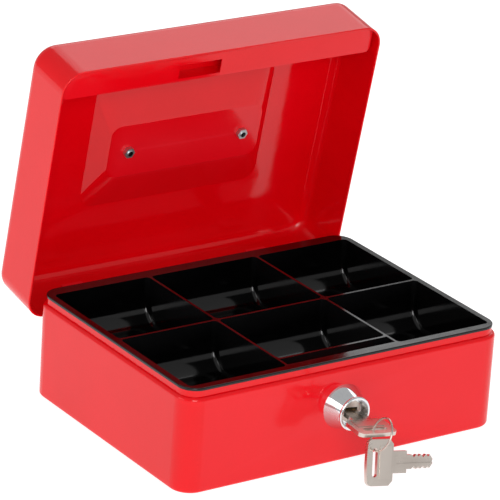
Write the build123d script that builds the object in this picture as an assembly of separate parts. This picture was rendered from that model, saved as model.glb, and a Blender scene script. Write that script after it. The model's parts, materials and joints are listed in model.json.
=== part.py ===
"""Cash box with an open lid, a lift-out coin tray, a cam lock and two keys.

Millimetres, +Z up, the front faces -Y.  The origin is on the table under the
middle of the base.  The lid and its pieces are drawn shut and then swung open.
"""
import os
from build123d import *

os.makedirs("parts", exist_ok=True)

# Base tray of the box
BASE_W = 200.0
BASE_D = 148.5
BASE_R = 11.5
SHEET = 1.1
SHOULDER_TOP = 53.0
SHOULDER_ROUND = 2.0
NECK_INSET = 2.0
NECK_TOP = 56.5
NECK_SHEET = 1.0
FOOT_ROUND = 2.0

# Lid, drawn shut
LID_OVERHANG = 1.0
LID_RIM_Z = 53.9
LID_HEIGHT = 34.5
LID_SHEET = 1.2
LID_ROUND = 6.5
LID_OPEN_DEG = 79.0
RIM_ROUND = 0.5

# Recess in the lid for the handle: width, depth, middle in Y, corner radius
RECESS_FLOOR = (97.0, 31.5, -5.75, 6.0)
RECESS_MOUTH = (114.0, 78.0, -7.7, 9.0)
RECESS_THINNER = (1.0, 0.5)
RECESS_RISE = 9.3
PANEL_EDGE = 9.0
PANEL_SINK = 1.8
STUD_HOLE_R = 1.6

# Hinges
HINGE_Y = 68.5
HINGE_Z = 42.3
HINGE_X = 60.0
KNUCKLE_R = 2.4
HINGE_PIN_R = 1.25
STRAP_W = 13.0
STRAP_T = 1.3
STRAP_TOP = 76.0
STRAP_GAP = 0.3
BORE_PLAY = 0.04
PIN_PROUD = 0.6
NOTCH_W = 15.0
NOTCH_DEEP = 5.0
NOTCH_FLOOR = 37.4
LEAF_W = 24.0
LEAF_Z = (26.0, 41.3)

# Latch strip inside the front of the lid
STRIP_Z = 58.2
STRIP_T = 0.9
STRIP_HALF_W = 97.5
STRIP_DEEP = 16.7
STRIP_LEG = 10.0
STRIP_CORNER = 3.0
LATCH_SLOT_X = (-26.5, 0.0)
LATCH_SLOT_Y = (-67.2, -59.1)
KEEPER_T = 1.0
KEEPER_DEEP = 7.5
HOOK_ROOM = 6.0

# Coin tray
TRAY_INSET = 1.7
TRAY_TOP = 57.9
TRAY_RIM_T = 1.4
TRAY_FLOOR = 30.5
TRAY_WALL = 1.3
TRAY_EDGE_ROUND = 0.6
TRAY_FOOT_ROUND = 4.0
POCKET_X = 94.5
POCKET_FRONT = -67.8
POCKET_REAR = 64.4
DIVIDER_X = 34.6
DIVIDER_Y = -1.2
DIVIDER_T = 1.4
WELL_WALL_Y = -58.3
WELL_FRONT_Y = -66.5
POCKET_SCOOP = 13.0
POCKET_CORNER = 2.5

# Lock
LOCK_X = -2.4
LOCK_Z = 31.4
CONE_R = 12.4
CONE_FRONT_R = 8.7
CONE_LENGTH = 9.2
LIP_R = 9.4
LIP_LENGTH = 1.8
LIP_ROUND = 0.8
DISH_R = (8.0, 6.6)
BARREL_R = 9.0
BARREL_PLAY = 0.1
BARREL_END = -65.2
PLUG_R = 6.0
PLUG_GAP = 0.05
PLUG_FACE = -81.0
PLUG_END = -64.6
PLUG_SQUARE = 6.0
KEYWAY_H = 4.2
KEYWAY_PLAY = 0.15
WAFER_FIRST = 2.6
WAFER_PITCH = 3.0
WAFER_T = 0.9
WAFER_H = 7.2
WAFER_HOLE = (8.0, 3.6)
WAFER_PLAY = 0.1
NUT_FLATS = 22.0
NUT_T = 4.0
CAM_Y = (-64.5, -62.7)
CAM_HUB_R = 7.0
CAM_ARM_W = 8.0
CAM_ARM_DEG = 14.0
CAM_HOOK_R = (29.2, 31.4)
CAM_HOOK_X = (-16.0, 9.5)
CAM_TURN_DEG = 82.0
LOCK_TILT_DEG = 8.0
SCREW_R = 1.5
SCREW_HEAD_R = 3.5
SCREW_HEAD_T = 2.0
SCREW_DEEP = 3.0
SCREW_CROSS = (4.0, 0.8)

# Keys
KEY_STOP = -82.9
KEY_DROOP_DEG = 4.2
KEY_T = 2.1
BOW_L = 16.5
BOW_W = 24.0
BOW_CURVE_R = 90.0
BOW_ROUND = 3.0
BOW_CHAMFER = 2.5
KEY_SHOULDER = (8.5, 11.5)
BLADE_L = 16.4
BLADE_W = 7.4
BLADE_TIP = (2.0, 1.2)
BLADE_CUTS = (1.0, 0.6, 1.2, 0.8)
BLADE_GROOVE = (1.4, 0.4)
BOW_BAR = 3.6
BOW_SLOT = (3.0, 14.9)
BOW_PAD = (7.2, 17.0, 0.3)
BOW_PAD_X = -13.4
RING_R = 8.8
RING_WIRE_R = 0.5
RING_CENTRE = (-4.4, -111.1, 30.9)
RING_FACES = (-0.906, 0.149, 0.395)
RING_PLAY = 0.5
SPARE_ROLL_DEG = 9.5
SPARE_LEAN_DEG = 16.0

# Handle
HANDLE_STUD_X = 36.4
HANDLE_Y = -5.25
HANDLE_LIFT = 5.4
BAIL_R = 2.5
BAIL_LEG_X = 31.0
BAIL_REACH = 19.0
BAIL_BEND_R = 6.0
BAIL_PIN_R = 2.0
BAIL_PIN_PLAY = 0.06
BAIL_SIDE_GAP = 0.3
BRACKET_T = 7.0
BRACKET_R = 3.6
BRACKET_FOOT = (11.0, 12.0, 1.4)
STUD_R = 1.5
STUD_LENGTH = 3.0
STUD_NUT_FLATS = 5.5
STUD_NUT_T = 2.4

FRONT = -BASE_D / 2
REAR = BASE_D / 2
LID_W = BASE_W + 2 * LID_OVERHANG
LID_D = BASE_D + 2 * LID_OVERHANG
LID_R = BASE_R + LID_OVERHANG
LID_TOP = LID_RIM_Z + LID_HEIGHT
CEILING = LID_TOP - LID_SHEET
PLATEAU_IN = CEILING - RECESS_RISE
PLATEAU_OUT = PLATEAU_IN + LID_SHEET
LOCK_FRONT = FRONT - CONE_LENGTH - LIP_LENGTH
BAIL_Z = PLATEAU_OUT + HANDLE_LIFT


def slab(width, depth, radius, low, high):
    """Upright block with rounded vertical corners, centred on the origin."""
    return Pos(0, 0, low) * extrude(RectangleRounded(width, depth, radius), high - low)


def block(x, y, z):
    """Box between two limits on each axis."""
    size = (x[1] - x[0], y[1] - y[0], z[1] - z[0])
    return Pos(sum(x) / 2, sum(y) / 2, sum(z) / 2) * Box(*size)


def rod_x(radius, x, y, z):
    """Round bar along X between two X limits."""
    bar = Rot(0, 90, 0) * Cylinder(radius, x[1] - x[0])
    return Pos(sum(x) / 2, y, z) * bar


def rod_y(radius, y, x=LOCK_X, z=LOCK_Z):
    """Round bar along Y between two Y limits, on the lock's axis if not told."""
    bar = Rot(90, 0, 0) * Cylinder(radius, y[1] - y[0])
    return Pos(x, sum(y) / 2, z) * bar


def opened(shape):
    """Swing a piece of the shut lid to where the open lid rests."""
    swing = Pos(0, HINGE_Y, HINGE_Z) * Rot(-LID_OPEN_DEG, 0, 0)
    return swing * Pos(0, -HINGE_Y, -HINGE_Z) * shape


def turned(shape, degrees):
    """Turn a piece about the lock's axis, clockwise from the front."""
    return Pos(LOCK_X, 0, LOCK_Z) * Rot(0, degrees, 0) * Pos(-LOCK_X, 0, -LOCK_Z) * shape


def drooped(shape):
    """Let the key's bow sag as far as the keyway's slack allows."""
    pivot = (0, KEY_STOP + BLADE_L / 2, LOCK_Z)
    return Pos(*pivot) * Rot(KEY_DROOP_DEG, 0, 0) * Pos(0, -pivot[1], -pivot[2]) * shape


def base_shell():
    body = slab(BASE_W, BASE_D, BASE_R, 0, SHOULDER_TOP)
    body = fillet(body.faces().sort_by(Axis.Z)[-1].edges(), SHOULDER_ROUND)
    body = fillet(body.faces().sort_by(Axis.Z)[0].edges(), FOOT_ROUND)
    neck_w = BASE_W - 2 * NECK_INSET
    neck_d = BASE_D - 2 * NECK_INSET
    neck_r = BASE_R - NECK_INSET
    body += slab(neck_w, neck_d, neck_r, SHOULDER_TOP - SHEET, NECK_TOP)
    inside_w = BASE_W - 2 * SHEET
    inside_d = BASE_D - 2 * SHEET
    under_shoulder = SHOULDER_TOP - SHEET - SHOULDER_ROUND / 3
    body -= slab(inside_w, inside_d, BASE_R - SHEET, SHEET, under_shoulder)
    mouth_w = neck_w - 2 * NECK_SHEET
    mouth_d = neck_d - 2 * NECK_SHEET
    body -= slab(mouth_w, mouth_d, neck_r - NECK_SHEET, under_shoulder - 1, NECK_TOP + 1)
    body -= rod_y(BARREL_R + BARREL_PLAY, (FRONT - 1, FRONT + SHEET + 1))
    for side in (-HINGE_X, HINGE_X):
        x = (side - NOTCH_W / 2, side + NOTCH_W / 2)
        body -= block(x, (REAR - NOTCH_DEEP, REAR + 1), (NOTCH_FLOOR, NECK_TOP + 1))
    return body


def outline(width, depth, y, corner, z):
    """Rounded rectangle lying flat at one height of the lid."""
    return Pos(0, y, z) * RectangleRounded(width, depth, corner)


def sunk(mouth, floor, top, drop):
    """Sloping block between a wide mouth and a smaller floor below it."""
    return loft([outline(*floor, top - drop), outline(*mouth, top)])


def handle_recess(mouth, floor, top):
    """The sloping top panel and the deeper recess in its middle."""
    width = LID_W - 2 * PANEL_EDGE
    depth = LID_D - 2 * PANEL_EDGE
    body = sunk((width, depth, 0, LID_R / 2), mouth, top, PANEL_SINK)
    return body + sunk(mouth, floor, top - PANEL_SINK, RECESS_RISE - PANEL_SINK)


def thinner(size):
    return (size[0] - RECESS_THINNER[0], size[1] - RECESS_THINNER[1], size[2], size[3])


def lid_shell():
    body = slab(LID_W, LID_D, LID_R, LID_RIM_Z, LID_TOP)
    body = fillet(body.faces().sort_by(Axis.Z)[-1].edges(), LID_ROUND)
    inside_w = LID_W - 2 * LID_SHEET
    inside_d = LID_D - 2 * LID_SHEET
    inside_r = LID_R - LID_SHEET
    hollow = slab(inside_w, inside_d, inside_r, LID_RIM_Z - 10, CEILING)
    hollow = fillet(hollow.faces().sort_by(Axis.Z)[-1].edges(), LID_ROUND - LID_SHEET)
    body -= hollow
    body += handle_recess(RECESS_MOUTH, RECESS_FLOOR, CEILING)
    body -= handle_recess(thinner(RECESS_MOUTH), thinner(RECESS_FLOOR), LID_TOP)
    rim = body.faces().sort_by(Axis.Z)[0]
    body = fillet(rim.edges(), RIM_ROUND)
    for side in (-HANDLE_STUD_X, HANDLE_STUD_X):
        body -= Pos(side, HANDLE_Y, PLATEAU_IN) * Cylinder(STUD_HOLE_R, 6)
    return body


def latch_strip():
    """Flange across the mouth of the lid, with a closed keeper over its slot."""
    front = -LID_D / 2 + LID_SHEET
    ends = (-STRIP_HALF_W, STRIP_HALF_W)
    body = block(ends, (front, front + STRIP_DEEP), (STRIP_Z, STRIP_Z + STRIP_T))
    inner = body.edges().filter_by(Axis.Z).sort_by(Axis.Y)[-2:]
    body = fillet(inner, STRIP_CORNER)
    inside_w = LID_W - 2 * LID_SHEET
    inside_d = LID_D - 2 * LID_SHEET
    body &= slab(inside_w, inside_d, LID_R - LID_SHEET, LID_RIM_Z, LID_TOP)
    leg = STRIP_HALF_W - LID_R
    body += block((-leg, leg), (front, front + STRIP_T), (STRIP_Z, STRIP_Z + STRIP_LEG))
    room_x = (LATCH_SLOT_X[0], LATCH_SLOT_X[1] + HOOK_ROOM)
    cover_x = (room_x[0] - KEEPER_T, room_x[1] + KEEPER_T)
    cover_y = (LATCH_SLOT_Y[0] - KEEPER_T, LATCH_SLOT_Y[1] + KEEPER_T)
    ceiling = STRIP_Z + KEEPER_DEEP
    body += block(cover_x, cover_y, (STRIP_Z, ceiling + KEEPER_T))
    body -= block(room_x, LATCH_SLOT_Y, (STRIP_Z + STRIP_T, ceiling))
    return body - block(LATCH_SLOT_X, LATCH_SLOT_Y, (STRIP_Z - 1, ceiling))


def hinge_strap(side):
    x = (side - STRAP_W / 2, side + STRAP_W / 2)
    back = LID_D / 2 - LID_SHEET
    low = HINGE_Z - STRAP_T / 2
    body = block(x, (back - STRAP_T, back), (low, STRAP_TOP))
    body += block(x, (HINGE_Y, back), (low, low + STRAP_T))
    body += rod_x(KNUCKLE_R, x, HINGE_Y, HINGE_Z)
    body -= rod_x(HINGE_PIN_R + BORE_PLAY, x, HINGE_Y, HINGE_Z)
    return body


def hinge_leaf(side):
    inside = REAR - SHEET
    half = LEAF_W / 2
    gap = STRAP_W / 2 + STRAP_GAP
    low = HINGE_Z - KNUCKLE_R
    body = block((side - half, side + half), (inside - STRAP_T, inside), LEAF_Z)
    for ends in ((side - half, side - gap), (side + gap, side + half)):
        body += block(ends, (HINGE_Y, inside), (low, low + STRAP_T))
        body += rod_x(KNUCKLE_R, ends, HINGE_Y, HINGE_Z)
    body -= rod_x(HINGE_PIN_R, (side - half, side + half), HINGE_Y, HINGE_Z)
    swept = (LEAF_Z[0] + 10, LEAF_Z[1] + 10)
    body -= block((side - gap, side + gap), (HINGE_Y - 5, inside + 1), swept)
    return body


def hinge_pin(side):
    half = LEAF_W / 2 + PIN_PROUD
    return rod_x(HINGE_PIN_R, (side - half, side + half), HINGE_Y, HINGE_Z)


def pocket(x, y):
    """One coin compartment, scooped at its front and rear."""
    body = block(x, y, (TRAY_FLOOR + TRAY_WALL, TRAY_TOP + 5))
    bottom = body.faces().sort_by(Axis.Z)[0].edges().filter_by(Axis.X)
    body = fillet(bottom, POCKET_SCOOP)
    return fillet(body.edges().filter_by(Axis.Z), POCKET_CORNER)


def tray_blank():
    """Flat rim with the tub under it, before the compartments are cut."""
    width = BASE_W - 2 * TRAY_INSET
    depth = BASE_D - 2 * TRAY_INSET
    rim_low = TRAY_TOP - TRAY_RIM_T
    body = slab(width, depth, BASE_R - TRAY_INSET, rim_low, TRAY_TOP)
    body = fillet(body.faces().sort_by(Axis.Z)[-1].edges(), TRAY_EDGE_ROUND)
    side = POCKET_X + TRAY_WALL
    y = (POCKET_FRONT - TRAY_WALL, POCKET_REAR + TRAY_WALL)
    tub = block((-side, side), y, (TRAY_FLOOR, rim_low))
    tub = fillet(tub.edges().filter_by(Axis.Z), POCKET_CORNER + TRAY_WALL)
    return body + fillet(tub.faces().sort_by(Axis.Z)[0].edges(), TRAY_FOOT_ROUND)


def coin_tray():
    body = tray_blank()
    near = DIVIDER_X - DIVIDER_T / 2
    far = DIVIDER_X + DIVIDER_T / 2
    front_row = (POCKET_FRONT, DIVIDER_Y - DIVIDER_T / 2)
    rear_row = (DIVIDER_Y + DIVIDER_T / 2, POCKET_REAR)
    short_row = (WELL_WALL_Y + DIVIDER_T / 2, front_row[1])
    for row in (rear_row, front_row):
        body -= pocket((-POCKET_X, -far), row)
        body -= pocket((far, POCKET_X), row)
    body -= pocket((-near, near), rear_row)
    body -= pocket((-near, near), short_row)
    well = WELL_WALL_Y - DIVIDER_T / 2
    body -= block((-near, near), (FRONT, well), (0, TRAY_TOP - TRAY_RIM_T))
    body -= block((-near, near), (WELL_FRONT_Y, well), (0, TRAY_TOP + 1))
    return body


def lock_housing():
    """Chromed cone with a rolled lip, and the barrel that passes the wall."""
    neck = FRONT - CONE_LENGTH
    cone = Cone(CONE_R, CONE_FRONT_R, CONE_LENGTH)
    body = Pos(LOCK_X, (FRONT + neck) / 2, LOCK_Z) * Rot(90, 0, 0) * cone
    lip = rod_y(LIP_R, (LOCK_FRONT, neck))
    body += fillet(lip.edges().filter_by(GeomType.CIRCLE), LIP_ROUND)
    body += rod_y(BARREL_R, (FRONT, BARREL_END))
    body -= rod_y(PLUG_R + PLUG_GAP, (LOCK_FRONT - 1, BARREL_END + 1))
    depth = PLUG_FACE - LOCK_FRONT
    dish = Cone(DISH_R[1], DISH_R[0], depth)
    return body - Pos(LOCK_X, LOCK_FRONT + depth / 2, LOCK_Z) * Rot(90, 0, 0) * dish


def lock_nut():
    inside = FRONT + SHEET
    hexagon = extrude(RegularPolygon(NUT_FLATS / 2, 6, major_radius=False), NUT_T)
    body = Pos(LOCK_X, inside + NUT_T, LOCK_Z) * Rot(90, 0, 0) * hexagon
    return body - rod_y(BARREL_R, (inside - 1, inside + NUT_T + 1))


def wafer_places():
    """Where the four wafers sit along the plug."""
    first = PLUG_FACE + WAFER_FIRST
    return [first + WAFER_PITCH * step for step in range(len(BLADE_CUTS))]


def on_axis(width, height, y):
    """Box centred on the lock's axis between two Y limits."""
    x = (LOCK_X - width / 2, LOCK_X + width / 2)
    return block(x, y, (LOCK_Z - height / 2, LOCK_Z + height / 2))


def lock_plug():
    body = rod_y(PLUG_R, (PLUG_FACE, PLUG_END))
    body += on_axis(PLUG_SQUARE, PLUG_SQUARE, (PLUG_END, CAM_Y[1]))
    body -= rod_y(SCREW_R, (CAM_Y[1] - SCREW_DEEP, CAM_Y[1] + 1))
    keyway = (PLUG_FACE - 1, KEY_STOP + BLADE_L + 2 * KEYWAY_PLAY)
    body -= on_axis(BLADE_W + 2 * KEYWAY_PLAY, KEYWAY_H, keyway)
    half = WAFER_T / 2 + WAFER_PLAY / 2
    for place in wafer_places():
        y = (place - half, place + half)
        body -= on_axis(2 * PLUG_R + 2, WAFER_H + 2 * WAFER_PLAY, y)
    return turned(body, LOCK_TILT_DEG)


def lock_wafer(place):
    y = (place - WAFER_T / 2, place + WAFER_T / 2)
    body = on_axis(2 * PLUG_R, WAFER_H, y)
    body &= rod_y(PLUG_R - WAFER_PLAY, (place - 1, place + 1))
    body -= on_axis(*WAFER_HOLE, (place - 1, place + 1))
    return turned(body, LOCK_TILT_DEG)


def lock_cam():
    """Sickle cam, drawn hooked over the latch strip and then turned back."""
    thick = CAM_Y[1] - CAM_Y[0]
    inner, outer = CAM_HOOK_R
    plate = Circle(CAM_HUB_R)
    reach = (inner + outer) / 2
    arm = Pos(0, reach / 2) * Rectangle(CAM_ARM_W, reach)
    plate += Rot(0, 0, CAM_ARM_DEG) * arm
    left, right = CAM_HOOK_X
    wedge = make_face(Polyline((0, 0), (left, 40), (right, 40), (0, 0)))
    plate += (Circle(outer) - Circle(inner)) & wedge
    plate -= Rectangle(PLUG_SQUARE + WAFER_PLAY, PLUG_SQUARE + WAFER_PLAY)
    body = Pos(LOCK_X, CAM_Y[1], LOCK_Z) * Rot(90, 0, 0) * extrude(plate, thick)
    return turned(body, -CAM_TURN_DEG)


def cam_screw():
    head_end = CAM_Y[1] + SCREW_HEAD_T
    body = rod_y(SCREW_HEAD_R, (CAM_Y[1], head_end))
    body += rod_y(SCREW_R, (CAM_Y[1] - SCREW_DEEP, head_end - SCREW_HEAD_T / 2))
    long, short = SCREW_CROSS
    y = (head_end - short, head_end + 1)
    body -= on_axis(long, short, y)
    body -= on_axis(short, long, y)
    return turned(body, LOCK_TILT_DEG)


def key_bow():
    """Outline of the key's bow and shoulder, the shoulder ending at X = 0."""
    shoulder_l, shoulder_w = KEY_SHOULDER
    end = -shoulder_l - BOW_L
    plan = Pos(-shoulder_l - BOW_L / 2, 0) * Rectangle(BOW_L, BOW_W)
    plan &= Pos(end + BOW_CURVE_R, 0) * Circle(BOW_CURVE_R)
    plan = fillet(plan.vertices().sort_by(Axis.X)[:2], BOW_ROUND)
    plan = chamfer(plan.vertices().sort_by(Axis.X)[-2:], BOW_CHAMFER)
    slot_l, slot_w = BOW_SLOT
    slot = Pos(end + BOW_BAR + slot_l / 2, 0) * Rot(0, 0, 90) * SlotOverall(slot_w, slot_l)
    return plan + Pos(-shoulder_l / 2, 0) * Rectangle(shoulder_l, shoulder_w) - slot


def key_blade():
    """Outline of the blade with its cuts, pointing to +X."""
    half = BLADE_W / 2
    tip, nose = BLADE_TIP
    straight = BLADE_L - tip
    upper = [(-1, half), (straight, half), (BLADE_L, nose)]
    lower = [(x, -y) for x, y in reversed(upper)]
    plan = make_face(Polyline(*upper, *lower, upper[0]))
    for place, depth in zip(wafer_places(), BLADE_CUTS):
        for edge in (-half, half):
            notch = Rot(0, 0, 45) * Rectangle(1 + depth, 1 + depth)
            plan -= Pos(place - KEY_STOP, edge) * notch
    return plan


def flat_key():
    """Key lying flat, its length along X, the blade towards +X."""
    body = extrude(key_bow() + key_blade(), KEY_T / 2, both=True)
    pad_l, pad_w, pad_t = BOW_PAD
    body += Pos(BOW_PAD_X, 0) * Box(pad_l, pad_w, KEY_T + 2 * pad_t)
    groove_w, groove_deep = BLADE_GROOVE
    x = (-KEY_SHOULDER[0] + 2, BLADE_L + 1)
    for face in (-KEY_T / 2, KEY_T / 2):
        z = (face - groove_deep, face + groove_deep)
        body -= block(x, (-groove_w / 2, groove_w / 2), z)
    return body


def key_in_lock():
    body = Pos(LOCK_X, KEY_STOP, LOCK_Z) * Rot(0, 0, 90) * flat_key()
    return turned(drooped(body), LOCK_TILT_DEG)


def key_ring():
    """Wire ring threaded through the slots of both bows."""
    return Plane(origin=RING_CENTRE, z_dir=RING_FACES) * Torus(RING_R, RING_WIRE_R)


def ring_bottom():
    """Lowest point on the middle of the ring's wire."""
    faces = Vector(*RING_FACES).normalized()
    down = Vector(0, 0, -1)
    along = down - faces * down.dot(faces)
    return Vector(*RING_CENTRE) + along.normalized() * RING_R


def spare_key():
    """Second key hanging on the ring by the upper end of its slot."""
    hook = ring_bottom()
    slot_l, slot_w = BOW_SLOT
    slot_x = KEY_SHOULDER[0] + BOW_L - BOW_BAR - slot_l / 2
    drop = slot_w / 2 - RING_WIRE_R - RING_PLAY
    body = Pos(slot_x, 0, -drop) * Rot(90, 0, 0) * flat_key()
    return Pos(hook) * Rot(-SPARE_LEAN_DEG, 0, 0) * Rot(0, SPARE_ROLL_DEG, 0) * body


def handle_bracket(side):
    sign = 1 if side > 0 else -1
    near = BAIL_LEG_X + BAIL_R + BAIL_SIDE_GAP
    foot_l, foot_w, foot_t = BRACKET_FOOT
    x = sorted((sign * near, sign * (near + BRACKET_T)))
    foot = sorted((sign * near, sign * (near + foot_l)))
    foot_y = (HANDLE_Y - foot_w / 2, HANDLE_Y + foot_w / 2)
    body = block(foot, foot_y, (PLATEAU_OUT, PLATEAU_OUT + foot_t))
    post_y = (HANDLE_Y - BRACKET_R, HANDLE_Y + BRACKET_R)
    body += block(x, post_y, (PLATEAU_OUT, BAIL_Z))
    body += rod_x(BRACKET_R, x, HANDLE_Y, BAIL_Z)
    body -= rod_x(BAIL_PIN_R + BAIL_PIN_PLAY, x, HANDLE_Y, BAIL_Z)
    low = PLATEAU_IN - STUD_LENGTH
    stud = Cylinder(STUD_R, PLATEAU_OUT + 1 - low)
    return body + Pos(sign * HANDLE_STUD_X, HANDLE_Y, (low + PLATEAU_OUT + 1) / 2) * stud


def handle_nut(side):
    sign = 1 if side > 0 else -1
    hexagon = RegularPolygon(STUD_NUT_FLATS / 2, 6, major_radius=False)
    body = extrude(hexagon - Circle(STUD_R), STUD_NUT_T)
    return Pos(sign * HANDLE_STUD_X, HANDLE_Y, PLATEAU_IN - STUD_NUT_T) * body


def handle_bail():
    grip = HANDLE_Y + BAIL_REACH
    corners = [
        (-BAIL_LEG_X, HANDLE_Y, BAIL_Z),
        (-BAIL_LEG_X, grip, BAIL_Z),
        (BAIL_LEG_X, grip, BAIL_Z),
        (BAIL_LEG_X, HANDLE_Y, BAIL_Z),
    ]
    path = FilletPolyline(*corners, radius=BAIL_BEND_R)
    start = Plane(origin=corners[0], z_dir=(0, 1, 0))
    body = sweep(start * Circle(BAIL_R), path=path)
    pin_end = BAIL_LEG_X + BAIL_R + BRACKET_T - BAIL_SIDE_GAP
    for sign in (-1, 1):
        tip = sorted((sign * BAIL_LEG_X, sign * pin_end))
        body += Pos(sign * BAIL_LEG_X, HANDLE_Y, BAIL_Z) * Sphere(BAIL_R)
        body += rod_x(BAIL_PIN_R, tip, HANDLE_Y, BAIL_Z)
    return body


def main():
    nodes = {
        "base_shell": base_shell(),
        "lid_shell": opened(lid_shell()),
        "latch_strip": opened(latch_strip()),
        "coin_tray": coin_tray(),
        "lock_housing": lock_housing(),
        "lock_nut": lock_nut(),
        "lock_plug": lock_plug(),
        "lock_cam": lock_cam(),
        "cam_screw": cam_screw(),
        "key_in_lock": key_in_lock(),
        "key_ring": key_ring(),
        "spare_key": spare_key(),
        "handle_bail": opened(handle_bail()),
    }
    for name, side in (("left", -1), ("right", 1)):
        nodes["hinge_leaf_" + name] = hinge_leaf(side * HINGE_X)
        nodes["hinge_pin_" + name] = hinge_pin(side * HINGE_X)
        nodes["hinge_strap_" + name] = opened(hinge_strap(side * HINGE_X))
        nodes["handle_bracket_" + name] = opened(handle_bracket(side))
        nodes["handle_nut_" + name] = opened(handle_nut(side))
    for number, place in enumerate(wafer_places(), start=1):
        nodes["lock_wafer_" + str(number)] = lock_wafer(place)
    for name, shape in nodes.items():
        export_step(shape, "parts/" + name + ".step")


main()
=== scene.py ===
"""Cash box: looks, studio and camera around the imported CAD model. Everything is in metres."""

import json
import math

import bpy
from mathutils import Matrix, Vector

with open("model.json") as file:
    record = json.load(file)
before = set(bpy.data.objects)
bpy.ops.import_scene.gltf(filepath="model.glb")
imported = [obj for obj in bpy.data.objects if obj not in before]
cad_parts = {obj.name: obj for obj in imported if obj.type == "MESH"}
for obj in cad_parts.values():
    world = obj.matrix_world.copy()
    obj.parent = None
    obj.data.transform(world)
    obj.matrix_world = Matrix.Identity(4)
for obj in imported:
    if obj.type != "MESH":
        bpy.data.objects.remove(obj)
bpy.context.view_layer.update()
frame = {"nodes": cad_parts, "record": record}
nodes = frame["nodes"]
scene = bpy.context.scene
scene.view_settings.view_transform = "Standard"
scene.view_settings.look = "None"
scene.render.film_transparent = False

# ---------------------------------------------------------------- materials

# places of the colour sockets on a colour Mix node
MIX_FIRST = 6
MIX_SECOND = 7
MIX_RESULT = 2

# colours are linear; a gloss is the roughness of the smoothest and of the dullest places; scales
# are features to the metre; depths are in metres
WHITE = (1, 1, 1, 1)
EVEN = (1, 1, 1)
MATT = 0.9

PAINT_RED = (0.73, 0.0004, 0.0040)
PAINT_PALE = (0.78, 0.0007, 0.0060)
PAINT_DARK = (0.69, 0.0003, 0.0030)
# edge colour of the paint: partly thinner paint on the edges, partly a painted highlight along the rims
PAINT_THIN_EDGE_AND_HIGHLIGHT = (0.78, 0.012, 0.022)
PAINT_GLOSS = (0.07, 0.13)
PAINT_IOR = 1.39
PEEL_SCALE = 210
PEEL_DEPTH = 0.00005
PAINT_GRAIN_SCALE = 1400
PAINT_GRAIN_DEPTH = 0.000004

PLASTIC_BLACK = (0.0006, 0.0006, 0.0007)
PLASTIC_PALE = (0.0012, 0.0012, 0.0012)
PLASTIC_EDGE_PALE = (0.006, 0.006, 0.0065)
PLASTIC_GLOSS = (0.08, 0.15)
PLASTIC_IOR = 1.45
SINK_SCALE = 120
SINK_DEPTH = 0.00003
PLASTIC_GRAIN_SCALE = 2200
PLASTIC_GRAIN_DEPTH = 0.000003

CLOUD_SCALE = 60
SCRATCH_SCALE = 900
SCRATCH_DEPTH = 0.000004
POLISHED_DEPTH = 0.000001
WAVE_SCALE = 150
NICKEL_WAVE = 0.00002


class Mat:
    """A procedural material: a Principled surface with a few helpers to drive its sockets."""

    def __init__(self, name):
        """Starts a new material and finds the nodes that every one needs."""
        self.mat = bpy.data.materials.new(name)
        self.mat.use_nodes = True
        self.tree = self.mat.node_tree
        self.bsdf = self.tree.nodes["Principled BSDF"]
        self.coord = self.add("ShaderNodeTexCoord").outputs["Object"]

    def add(self, kind, **values):
        """A new node with those properties."""
        node = self.tree.nodes.new(kind)
        for key, value in values.items():
            setattr(node, key, value)
        return node

    def link(self, output, socket):
        """Joins an output to an input."""
        self.tree.links.new(output, socket)

    def set(self, **values):
        """Sets inputs of the Principled node, with an underscore for each space in a name."""
        for key, value in values.items():
            self.bsdf.inputs[key.replace("_", " ")].default_value = value

    def noise(self, scale, detail=2.0, rough=0.5, stretch=EVEN):
        """Noise with that many features to the metre, longer along the axes with a small stretch."""
        mapping = self.add("ShaderNodeMapping")
        mapping.inputs["Scale"].default_value = stretch
        self.link(self.coord, mapping.inputs["Vector"])
        node = self.add("ShaderNodeTexNoise")
        node.inputs["Scale"].default_value = scale
        node.inputs["Detail"].default_value = detail
        node.inputs["Roughness"].default_value = rough
        self.link(mapping.outputs["Vector"], node.inputs["Vector"])
        return node.outputs["Fac"]

    def remap(self, value, low, high, start=0.3, end=0.7):
        """Goes from low to high as value goes from start to end, and stays level outside."""
        node = self.add("ShaderNodeMapRange")
        node.inputs["From Min"].default_value = start
        node.inputs["From Max"].default_value = end
        node.inputs["To Min"].default_value = low
        node.inputs["To Max"].default_value = high
        self.link(value, node.inputs["Value"])
        return node.outputs["Result"]

    def mix(self, factor, first, second):
        """Colour that goes from first to second with factor. Each is a colour or a socket."""
        node = self.add("ShaderNodeMix", data_type="RGBA")
        self.link(factor, node.inputs["Factor"])
        for index, colour in ((MIX_FIRST, first), (MIX_SECOND, second)):
            if isinstance(colour, tuple):
                node.inputs[index].default_value = (*colour, 1)
            else:
                self.link(colour, node.inputs[index])
        return node.outputs[MIX_RESULT]

    def edges(self, low=0.52, high=0.6):
        """0 on flat sheet, 1 on the sharpest outside edges."""
        geometry = self.add("ShaderNodeNewGeometry")
        return self.remap(geometry.outputs["Pointiness"], 0, 1, low, high)

    def bumps(self, *layers):
        """Stacks bump layers, each (height, depth in metres)."""
        normal = None
        for height, depth in layers:
            bump = self.add("ShaderNodeBump")
            bump.inputs["Strength"].default_value = 1.0
            bump.inputs["Distance"].default_value = depth
            self.link(height, bump.inputs["Height"])
            if normal:
                self.link(normal, bump.inputs["Normal"])
            normal = bump.outputs["Normal"]
        self.link(normal, self.bsdf.inputs["Normal"])


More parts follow.
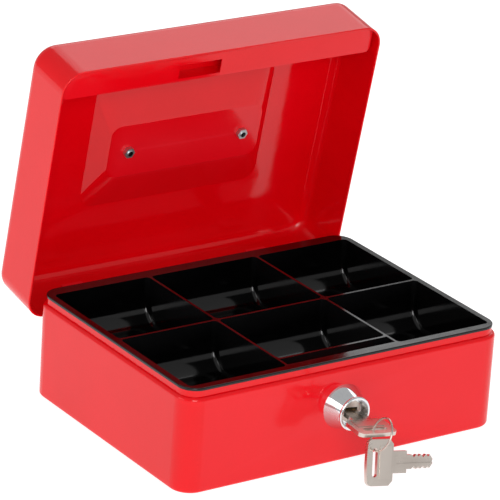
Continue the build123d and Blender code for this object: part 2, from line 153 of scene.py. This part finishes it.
def red_paint():
    """Glossy red powder coat, a little uneven in colour, with a faint orange peel and paler edges,
    partly from thinner paint there and partly a painted highlight.
    """
    m = Mat("red_powder_coat")
    flow = m.noise(26, 3)
    fine = m.noise(900, 2)
    base = m.mix(m.remap(flow, 0, 1), PAINT_RED, PAINT_PALE)
    base = m.mix(m.remap(fine, 0, 0.35), base, PAINT_DARK)
    # paler, pinker colour on the sharpest edges: partly thinner paint there, partly a painted highlight
    # along the rims
    colour = m.mix(m.edges(0.53, 0.66), base, PAINT_THIN_EDGE_AND_HIGHLIGHT)
    m.link(colour, m.bsdf.inputs["Base Color"])
    m.link(m.remap(m.noise(70, 4), *PAINT_GLOSS), m.bsdf.inputs["Roughness"])
    orange_peel = m.noise(PEEL_SCALE, 2)
    grain = m.noise(PAINT_GRAIN_SCALE, 1)
    m.bumps((orange_peel, PEEL_DEPTH), (grain, PAINT_GRAIN_DEPTH))
    m.set(IOR=PAINT_IOR)
    return m.mat


def black_plastic():
    """Black moulded plastic, paler on its sharpest edges."""
    m = Mat("black_moulded_plastic")
    flow = m.remap(m.noise(40, 4), 0, 1)
    colour = m.mix(flow, PLASTIC_BLACK, PLASTIC_PALE)
    # paler colour on the sharpest edges
    colour = m.mix(m.edges(0.53, 0.62), colour, PLASTIC_EDGE_PALE)
    m.link(colour, m.bsdf.inputs["Base Color"])
    m.link(m.remap(m.noise(90, 5), *PLASTIC_GLOSS), m.bsdf.inputs["Roughness"])
    sink_marks = m.noise(SINK_SCALE, 2)
    grain = m.noise(PLASTIC_GRAIN_SCALE, 1)
    m.bumps((sink_marks, SINK_DEPTH), (grain, PLASTIC_GRAIN_DEPTH))
    m.set(IOR=PLASTIC_IOR)
    return m.mat


def metal(name, light, dark, gloss, grain=EVEN, depth=SCRATCH_DEPTH, wave=0.0):
    """A metal with cloudy colour, scratches along the axis with the smallest grain, bright edges."""
    m = Mat(name)
    scratch = m.noise(SCRATCH_SCALE, 3, 0.6, grain)
    cloud = m.noise(CLOUD_SCALE, 4)
    base = m.mix(m.remap(cloud, 0, 1), light, dark)
    base = m.mix(m.remap(scratch, 0, 0.5, 0.45, 0.75), base, dark)
    m.link(m.mix(m.edges(0.54, 0.64), base, light), m.bsdf.inputs["Base Color"])
    smooth, dull = gloss
    blend = m.add("ShaderNodeMath", operation="ADD")
    m.link(m.remap(cloud, smooth, dull), blend.inputs[0])
    m.link(m.remap(scratch, 0, (dull - smooth) / 2), blend.inputs[1])
    m.link(blend.outputs[0], m.bsdf.inputs["Roughness"])
    layers = [(scratch, depth)]
    if wave:
        layers.append((m.noise(WAVE_SCALE, 2), wave))
    m.bumps(*layers)
    m.set(Metallic=1.0)
    return m.mat


# each metal has its name, light colour, dark colour, gloss, and how its scratches are stretched
MATERIALS = {
    "red_paint": red_paint(),
    "black_plastic": black_plastic(),
    "chrome": metal(
        "polished_chrome", (0.80, 0.81, 0.82), (0.68, 0.69, 0.71), (0.03, 0.08),
        depth=POLISHED_DEPTH,
    ),
    "nickel": metal(
        "nickel_plate", (0.64, 0.575, 0.52), (0.50, 0.44, 0.395), (0.22, 0.32), (0.15, 1, 1),
        wave=NICKEL_WAVE,
    ),
    "zinc_steel": metal("zinc_plate", (0.62, 0.63, 0.64), (0.44, 0.44, 0.45), (0.28, 0.40), (1, 0.2, 1)),
    "brass": metal("brass", (0.70, 0.50, 0.20), (0.50, 0.33, 0.12), (0.22, 0.34), (1, 1, 0.2)),
}

for part in frame["record"]["subparts"]:
    mesh = nodes[part["node"]].data
    if not mesh.materials:
        mesh.materials.append(None)
    for index in range(len(mesh.materials)):
        mesh.materials[index] = MATERIALS[part["material_slot"]]

# ---------------------------------------------------------------- studio

MIDDLE = Vector((0, 0, 0.09))
FLOOR_HALF = 6.0
FLOOR_GREY = (0.45, 0.45, 0.45, 1)
FLOOR_GLOW = 0.85
WORLD_GREY = 0.50
FLAG_BLACK = (0.01, 0.01, 0.01, 1)
FLAG_X = -1.3
FLAG_Y = (-1.0, -0.3)
FLAG_TOP = 0.30


def emitter(name, place, size, power):
    """A soft white light of that width and height and that many watts, turned to the box's middle."""
    light = bpy.data.lights.new(name, "AREA")
    light.shape = "RECTANGLE"
    light.size, light.size_y = size
    light.energy = power
    obj = bpy.data.objects.new(name, light)
    scene.collection.objects.link(obj)
    direction = MIDDLE - Vector(place)
    obj.location = place
    obj.rotation_euler = direction.to_track_quat("-Z", "Y").to_euler()


def plane(name, corners, material):
    """A flat piece of the studio with those four corners, which isn't part of the box."""
    mesh = bpy.data.meshes.new(name)
    mesh.from_pydata(corners, [], [(0, 1, 2, 3)])
    mesh.materials.append(material)
    obj = bpy.data.objects.new(name, mesh)
    scene.collection.objects.link(obj)


def studio_floor():
    """Wide floor that glows a little, so that it stays pale to the horizon."""
    m = Mat("studio_floor")
    m.set(Base_Color=FLOOR_GREY, Roughness=MATT)
    m.set(Emission_Color=WHITE, Emission_Strength=FLOOR_GLOW)
    far = FLOOR_HALF
    plane("floor", [(-far, -far, 0), (far, -far, 0), (far, far, 0), (-far, far, 0)], m.mat)


def black_flag():
    """Black card on the left that gives the chrome its dark streak."""
    m = Mat("black_flag")
    m.set(Base_Color=FLAG_BLACK, Roughness=MATT)
    front, rear = FLAG_Y
    low = [(FLAG_X, front, 0), (FLAG_X, rear, 0)]
    high = [(FLAG_X, rear, FLAG_TOP), (FLAG_X, front, FLAG_TOP)]
    plane("left_flag", low + high, m.mat)


studio_floor()

world = bpy.data.worlds.new("studio")
scene.world = world
world.use_nodes = True
background = world.node_tree.nodes["Background"]
background.inputs["Color"].default_value = WHITE
background.inputs["Strength"].default_value = WORLD_GREY

# each light has its name, place, width and height, and watts
emitter("back_bank", (0.95, 1.15, 1.35), (1.7, 1.3), 9)
emitter("front_bank", (-1.0, -2.1, 0.95), (1.2, 1.0), 24)
emitter("left_bank", (-1.9, 0.3, 0.9), (1.3, 1.0), 7)
black_flag()

# ---------------------------------------------------------------- camera

AZIMUTH = math.radians(-35.24)
ELEVATION = math.radians(21.63)
ROLL = math.radians(3.77)
DISTANCE = 1.92105
LOOK_AT = Vector((-0.01521, 0, 0.09346))
LENS_MM = 264.23
SENSOR_MM = 36.0
SIGHT_LIMIT = 50

level = math.cos(ELEVATION)
back = Vector((math.sin(AZIMUTH) * level, -math.cos(AZIMUTH) * level, math.sin(ELEVATION)))
right = Vector((math.cos(AZIMUTH), math.sin(AZIMUTH), 0))
up = back.cross(right)
right_rolled = right * math.cos(ROLL) + up * math.sin(ROLL)
up_rolled = up * math.cos(ROLL) - right * math.sin(ROLL)
camera_data = bpy.data.cameras.new("camera")
camera_data.lens = LENS_MM
camera_data.sensor_width = SENSOR_MM
camera_data.clip_end = SIGHT_LIMIT
camera = bpy.data.objects.new("camera", camera_data)
scene.collection.objects.link(camera)
turn = Matrix((right_rolled, up_rolled, back)).transposed().to_4x4()
camera.matrix_world = Matrix.Translation(LOOK_AT + back * DISTANCE) @ turn
scene.camera = camera
